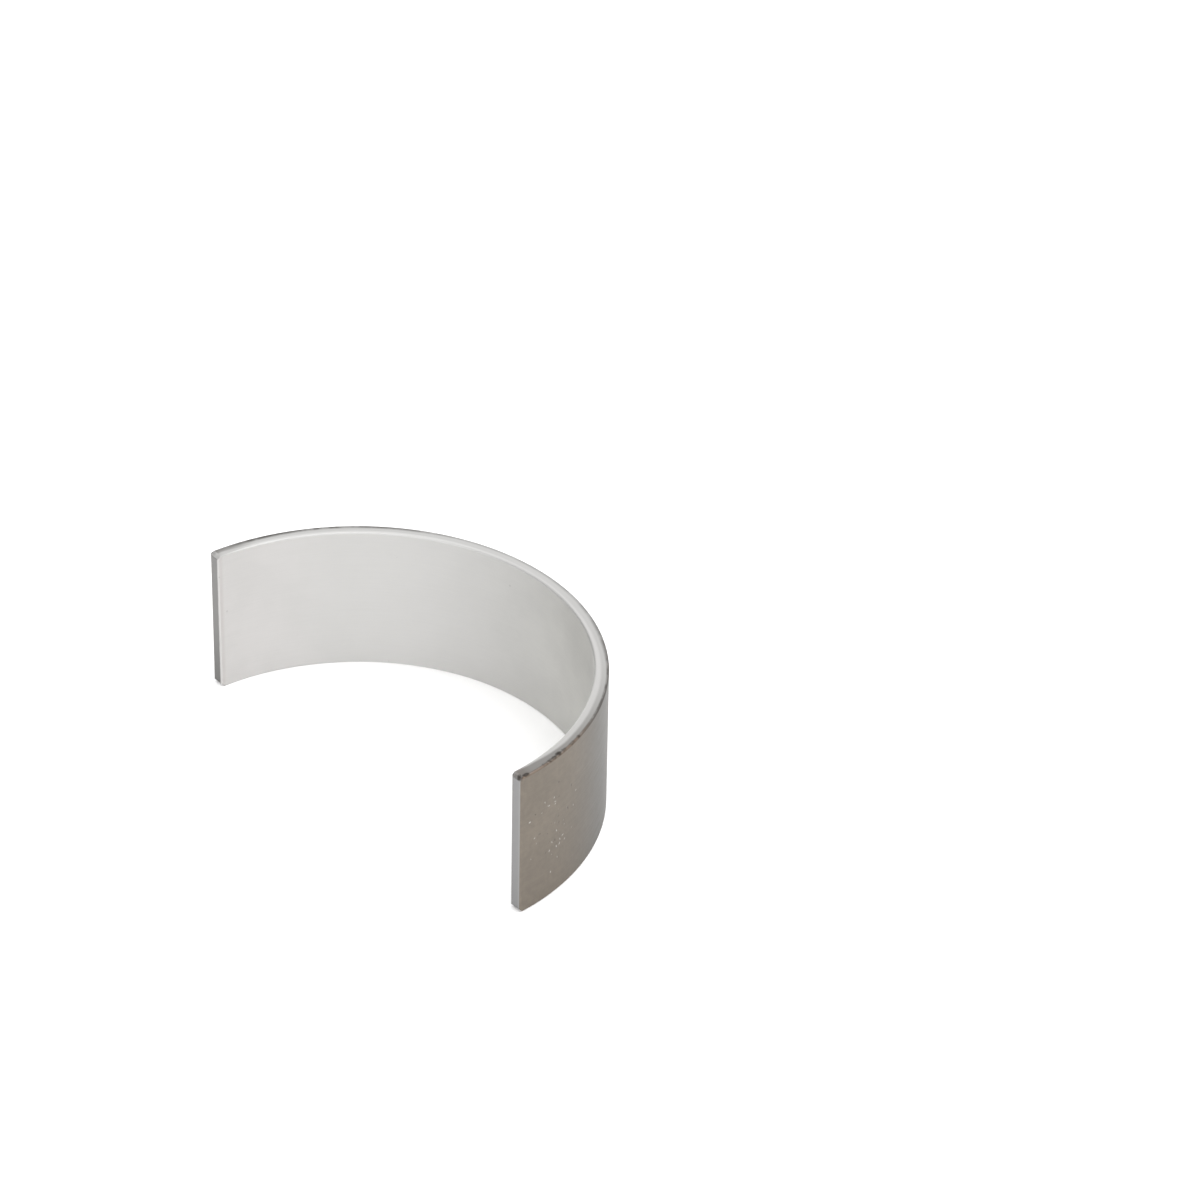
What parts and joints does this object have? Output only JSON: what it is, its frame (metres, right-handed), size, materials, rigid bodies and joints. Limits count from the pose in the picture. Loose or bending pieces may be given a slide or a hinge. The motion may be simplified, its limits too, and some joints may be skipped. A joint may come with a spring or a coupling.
{
  "type": "engine bearing shell",
  "caption": "Plain half-round engine bearing shell: a thin lined steel strip bent to a half ring that carries a shaft journal in a split bore.",
  "frame": {"origin": "on the bore axis, at half the width of the shell", "axes": "+Z along the bore axis, up as the shell stands on its side face; +Y from the bore axis to the crown; X across the two parting faces"},
  "size_m": [0.0522, 0.0252, 0.0168],
  "materials": {
    "lined_steel": "dull brownish grey steel back with a pale satin lining on the bore"
  },
  "bodies": {
    "root": {"bearing_shell": "lined_steel"}
  },
  "joints": []
}
